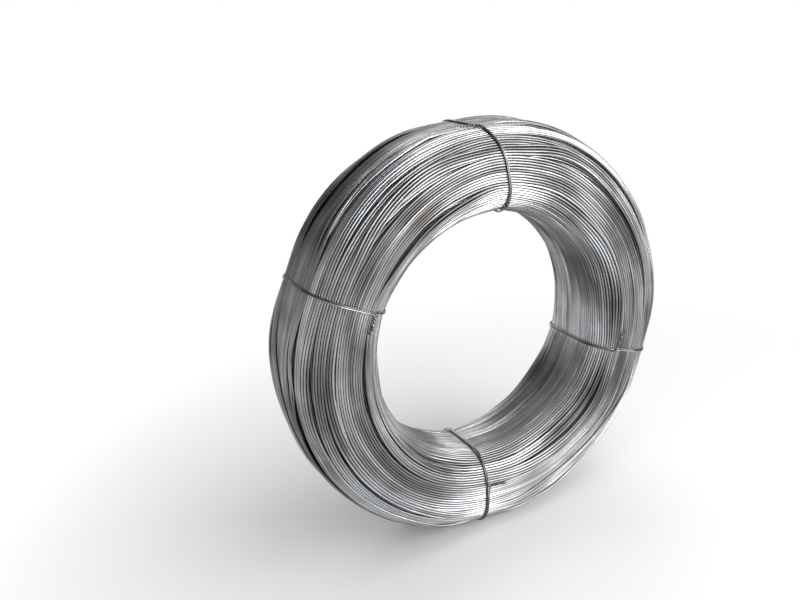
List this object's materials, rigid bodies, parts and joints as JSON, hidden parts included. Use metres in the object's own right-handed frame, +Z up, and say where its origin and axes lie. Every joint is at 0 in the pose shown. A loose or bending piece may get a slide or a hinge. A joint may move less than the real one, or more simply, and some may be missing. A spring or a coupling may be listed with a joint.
{
  "type": "coil of wire rod",
  "caption": "Ring-shaped coil of bare steel wire rod, wound in many turns round an open eye, bound by twisted wire ties and standing on its rim.",
  "frame": {"origin": "middle of the eye, on the coil's axis and halfway across its width", "axes": "+Y along the coil's axis from the front face to the back face, +Z up as the coil stands on its rim, +X to the right seen from the front"},
  "size_m": [0.922, 0.2316, 0.9303],
  "materials": {
    "bright_rod": "bare bright steel, satin",
    "tie_wire": "annealed grey steel, dull"
  },
  "bodies": {
    "root": {"coil": "bright_rod", "tie_top": "tie_wire", "tie_left": "tie_wire", "tie_bottom": "tie_wire", "tie_right": "tie_wire"}
  },
  "joints": []
}
